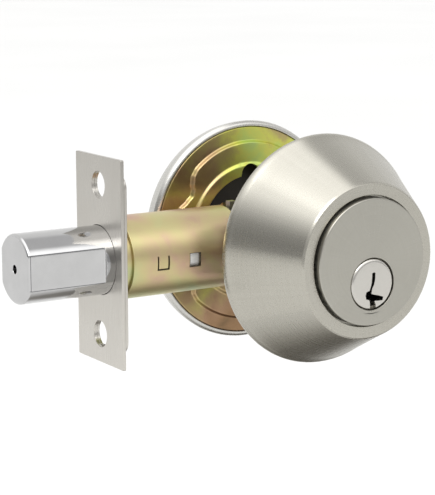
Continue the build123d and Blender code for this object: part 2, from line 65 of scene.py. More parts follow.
def fil(pts, rad, n=4, closed=True):
    """Rounds the corners of a profile, with a support point each side of every arc."""
    out, m = [], len(pts)
    for i, p in enumerate(pts):
        r = rad[i] if isinstance(rad, (list, tuple)) else rad
        P = Vector(p)
        if r <= 0 or (not closed and i in (0, m - 1)):
            out.append((P.x, P.y))
            continue
        a = Vector(pts[i - 1]) - P
        b = Vector(pts[(i + 1) % m]) - P
        la, lb = a.length, b.length
        a /= la
        b /= lb
        ang = math.acos(max(-1.0, min(1.0, a.dot(b))))
        if ang > math.radians(172):
            out.append((P.x, P.y))
            continue
        t = min(r / math.tan(ang / 2), 0.40 * la, 0.40 * lb)
        rr = t * math.tan(ang / 2)
        c = P + (a + b).normalized() * (rr / math.sin(ang / 2))
        v0, v1 = P + a * t - c, P + b * t - c
        phi = math.pi - ang
        sup = min(0.3 * t, 0.05)
        q = P + a * (t + sup)
        out.append((q.x, q.y))
        for k in range(n + 1):
            s = k / n
            v = v0 * (math.sin((1 - s) * phi) / math.sin(phi)) + v1 * (math.sin(s * phi) / math.sin(phi))
            out.append((c.x + v.x, c.y + v.y))
        q = P + b * (t + sup)
        out.append((q.x, q.y))
    return out


def spline_pts(ctrl, per=6):
    """Catmull-Rom points through the control points, ends included."""
    out = []
    n = len(ctrl)
    for i in range(n - 1):
        p0 = Vector(ctrl[max(i - 1, 0)])
        p1, p2 = Vector(ctrl[i]), Vector(ctrl[i + 1])
        p3 = Vector(ctrl[min(i + 2, n - 1)])
        for k in range(per):
            t = k / per
            q = 0.5 * ((2 * p1) + (p2 - p0) * t + (2 * p0 - 5 * p1 + 4 * p2 - p3) * t * t
                       + (3 * p1 - p0 - 3 * p2 + p3) * t ** 3)
            out.append(tuple(q))
    out.append(tuple(ctrl[-1]))
    return out


def loft(name, loops, close=True, caps=(False, False), sharp=32.0):
    n, m = len(loops[0]), len(loops)
    verts = [p for loop in loops for p in loop]
    faces = []
    for i in range(m if close else m - 1):
        a, b = i * n, ((i + 1) % m) * n
        for j in range(n):
            k = (j + 1) % n
            faces.append((a + j, a + k, b + k, b + j))
    if caps[0]:
        faces.append(tuple(range(n)))
    if caps[1]:
        faces.append(tuple((m - 1) * n + j for j in range(n)))
    return add_mesh(name, verts, faces, sharp)


def turned(name, prof, zc=0.0, n=192, close=True, sharp=32.0):
    """Turned round an axis along Y. prof is (radius, y) or (radius, y, z of the centre)."""
    loops = []
    for p in prof:
        c = p[2] if len(p) > 2 else zc
        loops.append([(p[0] * math.cos(2 * math.pi * j / n), p[1], c + p[0] * math.sin(2 * math.pi * j / n))
                      for j in range(n)])
    return loft(name, loops, close, sharp=sharp)


def tube_x(name, prof, n=192, close=True, sharp=32.0):
    """Turned round the X axis. prof is (x, radius)."""
    loops = [[(x, r * math.cos(2 * math.pi * j / n), r * math.sin(2 * math.pi * j / n)) for j in range(n)]
             for x, r in prof]
    return loft(name, loops, close, sharp=sharp)


def offset_loop(pts, d):
    """Moves each point to the left of the direction of travel by d, mitred."""
    if abs(d) < 1e-9:
        return [tuple(p) for p in pts]
    out, n = [], len(pts)
    for i in range(n):
        p0, p, p1 = Vector(pts[i - 1]), Vector(pts[i]), Vector(pts[(i + 1) % n])
        e0, e1 = (p - p0).normalized(), (p1 - p).normalized()
        n0, n1 = Vector((-e0.y, e0.x)), Vector((-e1.y, e1.x))
        m = (n0 + n1).normalized()
        q = p + m * (d / max(0.4, m.dot(n0)))
        out.append((q.x, q.y))
    return out


def circle(r, cx=0.0, cy=0.0, n=96, hole=False):
    s = -1 if hole else 1
    return [(cx + r * math.cos(2 * math.pi * j / n), cy + s * r * math.sin(2 * math.pi * j / n)) for j in range(n)]


def round_rect(w, h, r, n=8, cx=0.0, cy=0.0, hole=False):
    out = []
    for qx, qy, a0 in ((1, -1, -90), (1, 1, 0), (-1, 1, 90), (-1, -1, 180)):
        for k in range(n + 1):
            a = math.radians(a0 + 90 * k / n)
            out.append((cx + qx * (w / 2 - r) + r * math.cos(a), cy + qy * (h / 2 - r) + r * math.sin(a)))
    return out[::-1] if hole else out


def edge_prof(b, t, n=3):
    """Rounded edges of a plate of thickness t, as (inset, height)."""
    p = [(b + 0.08, 0.0)]
    for k in range(n + 1):
        a = math.pi / 2 * k / n
        p.append((b - b * math.sin(a), b - b * math.cos(a)))
    p.append((0.0, b + 0.04))
    p.append((0.0, t - b - 0.04))
    for k in range(n + 1):
        a = math.pi / 2 * k / n
        p.append((b - b * math.cos(a), t - b + b * math.sin(a)))
    p.append((b + 0.08, t))
    return p


def slab(name, outer, holes, place, prof_o, prof_h=None, sharp=32.0):
    """A plate or prism with holes. outer runs anticlockwise and holes clockwise."""
    verts, faces, first, last = [], [], [], []
    for idx, pts in enumerate([outer] + list(holes)):
        prof = prof_o if idx == 0 else (prof_h or prof_o)
        n, base = len(pts), len(verts)
        rings = [offset_loop(pts, ins) for ins, h in prof]
        for ring, (ins, h) in zip(rings, prof):
            verts += [place(x, y, h) for x, y in ring]
        for i in range(len(prof) - 1):
            a, b = base + i * n, base + (i + 1) * n
            for j in range(n):
                k = (j + 1) % n
                faces.append((a + j, a + k, b + k, b + j))
        first.append((base, rings[0]))
        last.append((base + (len(prof) - 1) * n, rings[-1]))
    for caps in (first, last):
        index, polys = [], []
        for base, ring in caps:
            polys.append([Vector((x, y, 0)) for x, y in ring])
            index += [base + j for j in range(len(ring))]
        for t in geometry.tessellate_polygon(polys):
            faces.append(tuple(index[i] for i in t))
    return add_mesh(name, verts, faces, sharp)


def prism_y(name, pts, y0, y1):
    """Straight cutter along Y through a 2-D outline in X and Z."""
    return loft(name, [[(x, y0, z) for x, z in pts], [(x, y1, z) for x, z in pts]], False, (True, True))


def boolean(o, cutters, op="DIFFERENCE", sharp=32.0):
    for c in cutters:
        m = o.modifiers.new("cut", "BOOLEAN")
        m.operation, m.solver, m.object = op, "EXACT", c
    bpy.context.view_layer.update()
    dg = bpy.context.evaluated_depsgraph_get()
    me = bpy.data.meshes.new_from_object(o.evaluated_get(dg))
    o.modifiers.clear()
    old = o.data
    o.data = me
    me.name = o.name
    bpy.data.meshes.remove(old)
    for c in cutters:
        bpy.data.objects.remove(c)
    me.materials.clear()
    bm = bmesh.new()
    bm.from_mesh(me)
    bmesh.ops.remove_doubles(bm, verts=bm.verts, dist=1e-7)
    bmesh.ops.recalc_face_normals(bm, faces=bm.faces)
    bm.to_mesh(me)
    bm.free()
    shade(me, sharp)
    return o


# ------------------------------------------------------------------ materials
class Mat:
    """A node material, with short ways to add its nodes."""

    def __init__(self, name):
        self.m = bpy.data.materials.new(name)
        self.m.use_nodes = True
        self.nt = self.m.node_tree
        self.bsdf = next(n for n in self.nt.nodes if n.type == "BSDF_PRINCIPLED")
        self.tc = self.nt.nodes.new("ShaderNodeTexCoord")

    def node(self, kind, **props):
        n = self.nt.nodes.new(kind)
        for k, v in props.items():
            setattr(n, k, v)
        return n

    def link(self, a, b):
        self.nt.links.new(a, b)

    def set(self, **values):
        for k, v in values.items():
            self.bsdf.inputs[k.replace("_", " ")].default_value = v

    def obj(self):
        return self.tc.outputs["Object"]

    def scaled(self, sx, sy, sz, src=None):
        mp = self.node("ShaderNodeMapping")
        mp.inputs["Scale"].default_value = (sx, sy, sz)
        self.link(src or self.obj(), mp.inputs["Vector"])
        return mp.outputs["Vector"]

    def noise(self, vec, scale=1.0, detail=3.0, rough=0.55, distortion=0.0):
        n = self.node("ShaderNodeTexNoise")
        n.inputs["Scale"].default_value = scale
        n.inputs["Detail"].default_value = detail
        n.inputs["Roughness"].default_value = rough
        n.inputs["Distortion"].default_value = distortion
        self.link(vec, n.inputs["Vector"])
        return n.outputs["Fac"]

    def math(self, op, a, b=None, c=None):
        n = self.node("ShaderNodeMath", operation=op)
        for i, v in enumerate((a, b, c)):
            if v is None:
                continue
            if isinstance(v, (int, float)):
                n.inputs[i].default_value = v
            else:
                self.link(v, n.inputs[i])
        return n.outputs[0]

    def remap(self, v, a, b, c, d):
        n = self.node("ShaderNodeMapRange")
        self.link(v, n.inputs["Value"])
        for k, x in zip(("From Min", "From Max", "To Min", "To Max"), (a, b, c, d)):
            n.inputs[k].default_value = x
        return n.outputs["Result"]

    def ramp(self, v, stops, interp="LINEAR"):
        n = self.node("ShaderNodeValToRGB")
        r = n.color_ramp
        r.interpolation = interp
        while len(r.elements) > 1:
            r.elements.remove(r.elements[-1])
        r.elements[0].position = stops[0][0]
        r.elements[0].color = (*stops[0][1], 1)
        for p, c in stops[1:]:
            e = r.elements.new(p)
            e.color = (*c, 1)
        self.link(v, n.inputs["Fac"])
        return n.outputs["Color"]

    def mix(self, f, a, b, mode="MIX"):
        n = self.node("ShaderNodeMix", data_type="RGBA", blend_type=mode)
        for key, v in ((0, f), (6, a), (7, b)):
            if isinstance(v, (int, float)):
                n.inputs[key].default_value = v
            elif isinstance(v, tuple):
                n.inputs[key].default_value = (*v, 1)
            else:
                self.link(v, n.inputs[key])
        return n.outputs[2]

    def bump(self, h, strength, dist):
        n = self.node("ShaderNodeBump")
        n.inputs["Strength"].default_value = strength
        n.inputs["Distance"].default_value = dist
        self.link(h, n.inputs["Height"])
        self.link(n.outputs["Normal"], self.bsdf.inputs["Normal"])

    def color(self, c):
        self.link(c, self.bsdf.inputs["Base Color"])

    def rough(self, r):
        self.link(r, self.bsdf.inputs["Roughness"])


def radial_parts(M, cz=0.0):
    """Radius, and the unit direction, about an axis along Y through z = cz."""
    sep = M.node("ShaderNodeSeparateXYZ")
    M.link(M.obj(), sep.inputs[0])
    z = M.math("SUBTRACT", sep.outputs["Z"], cz * S)
    r = M.math("SQRT", M.math("ADD", M.math("MULTIPLY", sep.outputs["X"], sep.outputs["X"]), M.math("MULTIPLY", z, z)))
    rs = M.math("MAXIMUM", r, 1e-5)
    ux, uz = M.math("DIVIDE", sep.outputs["X"], rs), M.math("DIVIDE", z, rs)
    return sep, r, ux, uz


def combine(M, x, y, z):
    n = M.node("ShaderNodeCombineXYZ")
    for i, v in enumerate((x, y, z)):
        if isinstance(v, (int, float)):
            n.inputs[i].default_value = v
        else:
            M.link(v, n.inputs[i])
    return n.outputs[0]


def box_mask(M, centre, half):
    """1 inside a box written in mm, 0 outside."""
    sep = M.node("ShaderNodeSeparateXYZ")
    M.link(M.obj(), sep.inputs[0])
    out = None
    for axis, c, h in zip("XYZ", centre, half):
        d = M.math("ABSOLUTE", M.math("SUBTRACT", sep.outputs[axis], c * S))
        k = M.math("LESS_THAN", d, h * S)
        out = k if out is None else M.math("MULTIPLY", out, k)
    return out


def spun_metal(name, c_lo, c_hi, rough, aniso, cz=0.0, lines=1.0):
    """Satin metal brushed round the Y axis: fine turned lines and long soft streaks."""
    M = Mat(name)
    M.set(Metallic=1.0, Anisotropic=aniso)
    sep, r, ux, uz = radial_parts(M, cz)
    v = combine(M, M.math("MULTIPLY", r, 5200.0), M.math("MULTIPLY", sep.outputs["Y"], 5200.0),
                M.math("MULTIPLY", M.math("ADD", ux, M.math("MULTIPLY", uz, 0.7)), 2.2))
    fine = M.noise(v, 1.0, 2.0, 0.6)
    v2 = combine(M, M.math("MULTIPLY", ux, 34.0), M.math("MULTIPLY", uz, 34.0), M.math("MULTIPLY", r, 60.0))
    fan = M.noise(v2, 1.0, 3.0, 0.6)
    cloud = M.noise(M.obj(), 55.0, 3.0, 0.5)
    f = M.math("ADD", M.math("MULTIPLY", fine, 0.45), M.math("ADD", M.math("MULTIPLY", fan, 0.35), M.math("MULTIPLY", cloud, 0.2)))
    M.color(M.ramp(f, [(0.30, c_lo), (0.70, c_hi)]))
    M.rough(M.remap(f, 0.25, 0.75, rough + 0.05, rough - 0.05))
    M.set(Anisotropic_Rotation=0.25)
    tan = M.node("ShaderNodeTangent", direction_type="RADIAL", axis="Y")
    M.link(tan.outputs[0], M.bsdf.inputs["Tangent"])
    M.bump(fine, 0.10 * lines, 0.00003)
    return M.m


ZINC_TUBE = [(0.30, (0.50, 0.36, 0.22)), (0.40, (0.56, 0.38, 0.28)), (0.46, (0.58, 0.46, 0.27)), (0.52, (0.57, 0.50, 0.26)),
             (0.58, (0.54, 0.52, 0.27)), (0.64, (0.46, 0.50, 0.27)), (0.72, (0.55, 0.42, 0.32))]
# ZINC_PLATE runs from dark brown to bright olive-green, so with the plate's tilt the brightness also changes across the
# plate as painted light and shade
ZINC_PLATE = [(0.24, (0.17, 0.115, 0.065)), (0.34, (0.29, 0.18, 0.10)), (0.41, (0.37, 0.235, 0.145)), (0.46, (0.42, 0.31, 0.16)),
              (0.51, (0.46, 0.40, 0.15)), (0.56, (0.58, 0.58, 0.13)), (0.61, (0.50, 0.60, 0.16)), (0.67, (0.44, 0.56, 0.20)), (0.75, (0.62, 0.46, 0.32))]


def yellow_zinc(name, stops, seed=0.0, hue_and_shade_tilt=(0.0, 0.0, 0.0), shift=0.0, rough=0.28, cut_shade=None):
    """Yellow passivated zinc: thin-film patches of gold, olive, green, pink and brown. An optional tilt shifts the ramp
    along a direction, partly a drift of hue and partly painted light and shade, one side lighter than the other;
    optional boxes paint near-black shade into cut edges.
    """
    M = Mat(name)
    M.set(Metallic=1.0)
    off = M.node("ShaderNodeMapping")
    off.inputs["Location"].default_value = (seed, seed * 0.7, seed * 1.3)
    M.link(M.obj(), off.inputs["Vector"])
    big = M.noise(off.outputs[0], 38.0, 2.0, 0.5, 0.8)
    mid = M.noise(off.outputs[0], 120.0, 3.0, 0.55, 0.6)
    grain = M.noise(off.outputs[0], 1900.0, 3.0, 0.65)
    f = M.math("ADD", M.math("ADD", M.math("MULTIPLY", big, 0.75), M.math("MULTIPLY", mid, 0.25)), shift)
    f = M.math("ADD", f, M.math("MULTIPLY", M.math("SUBTRACT", grain, 0.5), 0.05))
    # the tilt shifts the ramp along a direction across the part: partly a real drift of hue, partly painted light and
    # shade, one side lighter and greener, the other darker and browner
    if any(hue_and_shade_tilt):
        dot = M.node("ShaderNodeVectorMath", operation="DOT_PRODUCT")
        M.link(M.obj(), dot.inputs[0])
        dot.inputs[1].default_value = hue_and_shade_tilt
        f = M.math("ADD", f, dot.outputs["Value"])
    col = M.ramp(f, stops)
    # painted shade: the boxes colour the cut edges and a thin rim round them near-black, as if in shadow
    if cut_shade:
        dark = None
        for box, inner in cut_shade:
            k = box_mask(M, *box)
            if inner:
                k = M.math("MULTIPLY", k, M.math("SUBTRACT", 1.0, box_mask(M, *inner)))
            dark = k if dark is None else M.math("MAXIMUM", dark, k)
        col = M.mix(dark, col, (0.085, 0.068, 0.042))
    M.color(col)
    M.rough(M.remap(M.math("ADD", M.math("MULTIPLY", mid, 0.6), M.math("MULTIPLY", grain, 0.4)), 0.3, 0.7, rough - 0.05, rough + 0.07))
    M.bump(M.math("ADD", M.math("MULTIPLY", grain, 0.5), mid), 0.10, 0.00004)
    return M.m


def cloudy_metal(name, c_lo, c_hi, rough, grain_scale=1800.0, bump=0.08, aniso=0.0):
    """Plain plated or cast metal with a soft clouding and a fine grain."""
    M = Mat(name)
    M.set(Metallic=1.0, Anisotropic=aniso)
    cloud = M.noise(M.obj(), 120.0, 4.0, 0.55)
    grain = M.noise(M.obj(), grain_scale, 2.0, 0.6)
    f = M.math("ADD", M.math("MULTIPLY", cloud, 0.65), M.math("MULTIPLY", grain, 0.35))
    M.color(M.ramp(f, [(0.32, c_lo), (0.68, c_hi)]))
    M.rough(M.remap(f, 0.3, 0.7, rough + 0.05, rough - 0.05))
    M.bump(grain, bump, 0.00004)
    return M.m


def plate_metal(name, c_lo, c_hi, rough):
    """Faceplate finish: satin nickel with fine upright brushing, and a painted reflection gradient, darker towards the
    top.
    """
    M = Mat(name)
    M.set(Metallic=1.0, Anisotropic=0.35)
    lines = M.noise(M.scaled(3000.0, 3800.0, 90.0), 1.0, 3.0, 0.6)
    cloud = M.noise(M.obj(), 90.0, 3.0, 0.5)
    f = M.math("ADD", M.math("MULTIPLY", lines, 0.6), M.math("MULTIPLY", cloud, 0.4))
    sep = M.node("ShaderNodeSeparateXYZ")
    M.link(M.obj(), sep.inputs[0])
    # painted reflection: the colour is multiplied lighter towards the bottom and darker towards the top
    reflection_tone = M.remap(sep.outputs["Z"], -0.0286, 0.0286, 1.06, 0.86)
    M.color(M.mix(1.0, M.ramp(f, [(0.30, c_lo), (0.70, c_hi)]), combine(M, reflection_tone, reflection_tone, reflection_tone), "MULTIPLY"))
    M.rough(M.remap(f, 0.3, 0.7, rough + 0.05, rough - 0.05))
    M.bump(lines, 0.08, 0.00003)
    return M.m


def chrome_metal(name):
    M = Mat(name)
    M.set(Metallic=1.0)
    haze = M.noise(M.obj(), 160.0, 4.0, 0.6)
    fine = M.noise(M.scaled(300.0, 3200.0, 3200.0), 1.0, 2.0, 0.6)
    col = M.ramp(haze, [(0.3, (0.488, 0.486, 0.487)), (0.7, (0.535, 0.533, 0.534))])
    # painted shade: thin near-black lines along the edges of the two flats and where they meet the end chamfer,
    # standing in for the dark reflection seen there
    flat_edge_shade = None
    for sy in (-1, 1):
        for sz in (-1, 1):
            k = box_mask(M, (-73.8, sy * 8.3, sz * 4.74), (11.2, 0.35, 0.10))
            flat_edge_shade = k if flat_edge_shade is None else M.math("MAXIMUM", flat_edge_shade, k)
        flat_edge_shade = M.math("MAXIMUM", flat_edge_shade, box_mask(M, (-84.70, sy * 8.3, 0.0), (0.09, 0.35, 4.75)))
    # painted shade: the short round length beside the plate is darkened, standing in for the dark reflection it shows
    # there
    neck_shade = M.math("MULTIPLY", box_mask(M, (-61.3, 0.0, 0.0), (1.22, 20.0, 4.74)), 0.55)
    col = M.mix(neck_shade, col, (0.20, 0.20, 0.20))
    M.color(M.mix(flat_edge_shade, col, (0.16, 0.16, 0.165)))
    M.rough(M.remap(M.math("ADD", M.math("MULTIPLY", haze, 0.6), M.math("MULTIPLY", fine, 0.4)), 0.3, 0.7, 0.055, 0.11))
    M.bump(haze, 0.03, 0.0002)
    return M.m


def black_nylon(name):
    M = Mat(name)
    M.set(Metallic=0.0)
    g = M.noise(M.obj(), 2400.0, 3.0, 0.6)
    c = M.noise(M.obj(), 140.0, 3.0, 0.5)
    M.color(M.ramp(c, [(0.3, (0.010, 0.010, 0.010)), (0.7, (0.018, 0.017, 0.016))]))
    M.rough(M.remap(g, 0.3, 0.7, 0.62, 0.48))
    M.bump(g, 0.12, 0.00005)
    return M.m


# painted shade: the cut edges of the window and of the slits round the punched tab in the latch tube, with a thin rim
# round each, are coloured near-black as if in shadow
TUBE_CUT_SHADE = [
    (((-36.25, -11.0, -0.66), (1.80, 2.0, 2.00)), None),
    (((-46.28, -11.0, -0.62), (1.90, 2.0, 1.98)), ((-46.34, -11.0, -0.35), (1.42, 3.0, 1.85))),
]
SATIN = ((0.422, 0.406, 0.357), (0.460, 0.444, 0.395))
MATS = {
    "satin_guard": spun_metal("satin_steel_guard", *SATIN, rough=0.27, aniso=0.72),
    "satin_rose": spun_metal("satin_steel_rose", (0.54, 0.53, 0.50), (0.59, 0.58, 0.55), rough=0.27, aniso=0.6),
    "head": spun_metal("satin_nickel_head", (0.378, 0.366, 0.324), (0.414, 0.402, 0.360), rough=0.30, aniso=0.55),
    "plug": spun_metal("plug_nickel", (0.525, 0.508, 0.472), (0.578, 0.56, 0.524), rough=0.20, aniso=0.3, cz=AXIS_Z),
    "turn": cloudy_metal("satin_turn", (0.46, 0.445, 0.40), (0.51, 0.495, 0.45), 0.30, 2600.0, 0.06, 0.3),
    # the tube's boxes paint near-black shade into the window and the slits round the tab
    "zinc_tube": yellow_zinc("yellow_zinc_tube", ZINC_TUBE, 0.013, rough=0.37, cut_shade=TUBE_CUT_SHADE),
    # the plate's tilt paints its top and right lighter and greener, its left and bottom darker brown: partly real tint,
    # partly painted light and shade
    "zinc_plate": yellow_zinc("yellow_zinc_plate", ZINC_PLATE, 0.031, (3.2, 0.0, 3.4), 0.0, 0.31),
    "zinc_case": yellow_zinc("yellow_zinc_case", ZINC_TUBE, 0.057),
    "bright": cloudy_metal("bright_zinc", (0.55, 0.555, 0.56), (0.65, 0.652, 0.652), 0.30),
    "inner_sleeve": cloudy_metal("bright_sleeve", (0.82, 0.82, 0.81), (0.92, 0.92, 0.91), 0.48),
    "plate": plate_metal("faceplate_nickel", (0.512, 0.491, 0.452), (0.560, 0.538, 0.499), 0.30),
    "chrome": chrome_metal("bolt_chrome"),
    "brass": cloudy_metal("brass", (0.50, 0.36, 0.14), (0.62, 0.46, 0.20), 0.28),
    "spring": cloudy_metal("spring_steel", (0.33, 0.33, 0.34), (0.42, 0.42, 0.43), 0.26),
    "hard": cloudy_metal("hard_steel", (0.26, 0.26, 0.27), (0.34, 0.34, 0.35), 0.34),
    "cast": cloudy_metal("die_cast_zinc", (0.40, 0.41, 0.42), (0.50, 0.51, 0.52), 0.42, 900.0, 0.25),
    "nylon": black_nylon("black_nylon"),
}
NODE_MAT = {
    "key_pins": "brass", "driver_pins": "brass", "pin_chamber_cover": "brass", "pin_springs": "spring",
    "plug_retainer": "spring", "spindle_clip": "spring", "wave_washer": "spring", "tailpiece": "bright",
    "backset_sleeve": "inner_sleeve", "case_rivets": "bright", "bolt_bar": "bright", "mounting_screws": "bright",
    "case_left": "zinc_case", "case_right": "zinc_case", "saw_guard_pin": "hard", "bar_pin": "hard",
    "cam_hub": "cast", "turn_spindle": "cast", "turn_bearing": "nylon",
}
for node, key in NODE_MAT.items():
    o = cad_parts[node]
    if not o.material_slots:
        o.data.materials.append(MATS[key])
    for ms in o.material_slots:
        ms.material = MATS[key]


def finish_piece(o, mat, body, node):
    o.data.materials.clear()
    o.data.materials.append(MATS[mat])
    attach(o, body)
    if node:
        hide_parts(*([node] if isinstance(node, str) else node))
    return o


# ------------------------------------------------------------------ outside: guard
cone = [(21.55 + 10.0 * k / 8, -41.45 + 19.85 * k / 8) for k in range(1, 8)]
rim = spline_pts([(31.55, -21.60), (32.20, -20.55), (32.45, -19.60), (32.25, -18.80), (31.75, -18.40)], 6)
front = fil([(18.02, -40.2), (18.02, -41.87), (21.10, -41.87), (21.62, -41.31), (22.6, -39.37)],
            [0, 0.16, 0.25, 0.35, 0], 4, closed=False)[1:-1]
guard_prof = (front + [p for p in cone if p[1] > -38.9] + rim
              + fil([(31.75, -18.40), (30.45, -18.40), (30.45, -20.80), (29.85, -21.60), (20.75, -39.60), (18.02, -39.60),
                     (18.02, -41.2)], [0, 0.2, 0.3, 0.4, 0.3, 0.2, 0], 3, closed=False)[1:-1])
guard = turned("guard_shell", guard_prof, n=256)
finish_piece(guard, "satin_guard", "guard", "outer_guard")

# ------------------------------------------------------------------ outside: cylinder
head_prof = fil([(14.0, -43.62), (17.43, -43.62), (17.43, -39.40), (20.20, -39.40), (20.20, -37.00), (16.50, -37.00),
                 (16.50, -24.00), (26.00, -24.00), (26.00, -20.60), (16.50, -20.60), (16.50, -17.00), (14.0, -17.00)],
                [0, 0.36, 0.1, 0.25, 0.25, 0.2, 0.3, 0.3, 0.3, 0.3, 0.3, 0], 5, closed=False)
bore = fil([(8.2, -17.00), (6.39, -17.00), (6.39, -42.27), (7.26, -42.27), (7.26, -43.62), (8.2, -43.62)],
           [0, 0.15, 0.05, 0.05, 0.09, 0], 3, closed=False)
head = turned("cylinder_head", [(r, y, 0.0) for r, y in head_prof] + [(r, y, AXIS_Z) for r, y in bore], n=256)


def capsule(cx, r, w, n=24):
    """Outline in X and Z of a post lobe joined to the drum by a web."""
    s = 1 if cx > 0 else -1
    pts = [(cx - s * 8.0, -w), (cx, -w)] if s > 0 else [(cx + 8.0, w), (cx, w)]
    a0 = -90 if s > 0 else 90
    arc = [(cx + r * math.cos(math.radians(a0 + 180 * k / n)), r * math.sin(math.radians(a0 + 180 * k / n))) for k in range(n + 1)]
    tail = [(cx - s * 8.0, w)] if s > 0 else [(cx + 8.0, -w)]
    return pts[:1] + arc + tail


posts = []
for sx in (-1, 1):
    lobe = slab("lobe", capsule(sx * 21.0, 4.0, 2.6), [], lambda x, z, h: (x, -29.5 + h, z), edge_prof(0.3, 5.2))
    post = turned("post", [(p[0], p[1]) for p in fil([(2.03, -24.0), (3.4, -24.0), (3.4, -12.8), (2.03, -12.8)],
                                                    [0, 0, 0.35, 0.25], 3)], n=64)
    post.data.transform(Matrix.Translation((sx * 21.0 * S, 0, 0)))
    posts += [lobe, post]
bm = bmesh.new()
bm.from_mesh(head.data)
for p in posts:
    bm.from_mesh(p.data)
    bpy.data.objects.remove(p)
bm.to_mesh(head.data)
bm.free()
shade(head.data)
finish_piece(head, "head", "lock_case", "cylinder_body")

KEYWAY = [
    (0.35, 3.25), (0.85, 3.10), (0.80, 1.40), (0.45, -0.10), (-0.15, -1.20), (-0.45, -2.60),
    (0.45, -2.90), (1.90, -3.25), (3.60, -3.80), (3.35, -4.75), (1.70, -4.75), (0.55, -4.60),
    (1.05, -5.60), (1.15, -6.70), (-0.80, -6.70), (-0.90, -5.20), (-1.10, -4.30), (-2.15, -3.95),
    (-2.40, -2.90), (-2.05, -1.95), (-1.05, -1.70), (-0.60, -0.50), (-0.35, 0.60), (-0.25, 1.80),
    (-0.20, 3.05),
]
key_loop = fil(KEYWAY, 0.16, 3)
plug_prof = [(0.001, -43.82), (3.0, -43.82)]
plug_prof += [(7.10 - 1.15 + 1.15 * math.sin(math.pi / 16 * k), -43.82 + 1.15 - 1.15 * math.cos(math.pi / 16 * k)) for k in range(9)]
plug_prof += fil([(7.10, -42.60), (7.10, -42.32), (6.35, -42.32), (6.35, -16.90), (5.30, -16.90), (5.30, -16.10), (6.35, -16.10),
                  (6.35, -15.20), (0.001, -15.20)], [0, 0.05, 0.05, 0.1, 0.05, 0.05, 0.1, 0.12, 0], 2, closed=False)
plug = turned("plug_barrel", plug_prof, zc=AXIS_Z, n=160, close=False)
boolean(plug, [prism_y("c", [(x, AXIS_Z + z) for x, z in key_loop], -45.0, -14.0)])
finish_piece(plug, "plug", "plug", "key_plug")

ring = turned("door_adapter", fil([(24.70, -20.50), (30.10, -20.50), (30.10, -18.40), (26.70, -18.40), (26.70, -13.50),
                                   (25.60, -13.50), (25.60, -19.30), (24.70, -19.30)], 0.2, 3), n=160)
finish_piece(ring, "bright", "lock_case", "adapter_ring")


# ------------------------------------------------------------------ latch: plates
def at_x(x0):
    return lambda y, z, h: (x0 + h, y, z)


screw_holes = [circle(3.70, 0, z, 72, True) for z in (20.65, -20.65)]
face = slab("face_plate", round_rect(25.4, 57.15, 0.35, 4), [circle(9.615, n=128, hole=True)] + screw_holes,
            at_x(-60.0), edge_prof(0.14, 1.0), edge_prof(0.10, 1.0))
finish_piece(face, "plate", "lock_case", "faceplate")
back = slab("rear_plate", round_rect(25.4, 48.4, 3.4, 12), [circle(10.70, n=128, hole=True)] + [list(h) for h in screw_holes],
            at_x(-59.0), edge_prof(0.12, 0.8), edge_prof(0.08, 0.8))
finish_piece(back, "plate", "lock_case", "back_plate")

sleeve = tube_x("bolt_guide", fil([(-59.0, 9.615), (-59.0, 10.65), (-41.0, 10.65), (-41.0, 9.615)], 0.12, 3))
finish_piece(sleeve, "zinc_tube", "lock_case", "front_sleeve")

# ------------------------------------------------------------------ latch: tube
tube_prof = fil([(-55.5, 10.70), (-55.5, 11.50), (-8.0, 11.50), (-8.0, 10.70)], [0.12, 0.16, 0.16, 0.12], 3)
tube = tube_x("latch_barrel", tube_prof, n=224)
W1, W2, WZ = -46.3, -36.3, -0.6
cut = [prism_y("c", round_rect(3.2, 3.6, 0.18, 4, W2, WZ), -14, -6)]
cut += [prism_y("c", round_rect(0.3, 3.6, 0.05, 2, W1 + s * 1.6, WZ), -14, -6) for s in (-1, 1)]
cut += [prism_y("c", round_rect(3.3, 0.3, 0.05, 2, W1, WZ - 1.65), -14, -6)]
cut += [prism_y("c", circle(2.6, -21.0, 0, 48), -14, 14), prism_y("c", circle(1.02, -12.5, 0, 32), -14, 14)]
slot = loft("c", [[(x, y, 2.0) for x, y in round_rect(16.5, 10.0, 0.4, 3, -12.25, 0)],
                  [(x, y, 14.0) for x, y in round_rect(16.5, 10.0, 0.4, 3, -12.25, 0)]], False, (True, True))
boolean(tube, cut + [slot])
finish_piece(tube, "zinc_tube", "lock_case", "latch_tube")

# ------------------------------------------------------------------ latch: bolt
R, F = 9.525, 8.30


def bolt_ring(x, r_max, flat, inset=0.0, n=240):
    out = []
    for j in range(n):
        a = 2 * math.pi * j / n
        c, s = math.cos(a), math.sin(a)
        r0, r1 = r_max - inset, (flat - inset) / max(abs(c), 1e-6)
        k = 0.16                                    # softens the edge between flat and round
        h = max(k - abs(r0 - r1), 0.0) / k
        r = min(r0, r1) - h * h * k * 0.25
        out.append((x, r * c, r * s))
    return out


X0, X1, XF = -85.4, -50.0, -62.6
rings = [bolt_ring(-58.0, 1e-4, 99), bolt_ring(-58.0, 1.2, 99), bolt_ring(X0 + 0.16, 1.2, 99), bolt_ring(X0 + 0.10, 1.2, 99),
         bolt_ring(X0 + 0.03, 1.24, 99), bolt_ring(X0, 1.32, 99), bolt_ring(X0, 1.40, 99)]
rings += [bolt_ring(X0, R, F, 0.86), bolt_ring(X0, R, F, 0.78)]
for k in range(1, 5):
    a = math.pi / 2 * k / 4
    rings.append(bolt_ring(X0 + 0.78 * (1 - math.cos(a)), R, F, 0.78 - 0.78 * math.sin(a)))
rings += [bolt_ring(X0 + 0.86, R, F)]
rings += [bolt_ring(X0 + 1 + (XF - 0.5 - X0 - 1) * k / 6, R, F) for k in range(7)]
for k in range(1, 6):
    a = math.pi / 2 * k / 5
    rings.append(bolt_ring(XF - 0.35 + 0.35 * math.sin(a), R, F + 0.35 * (1 - math.cos(a))))
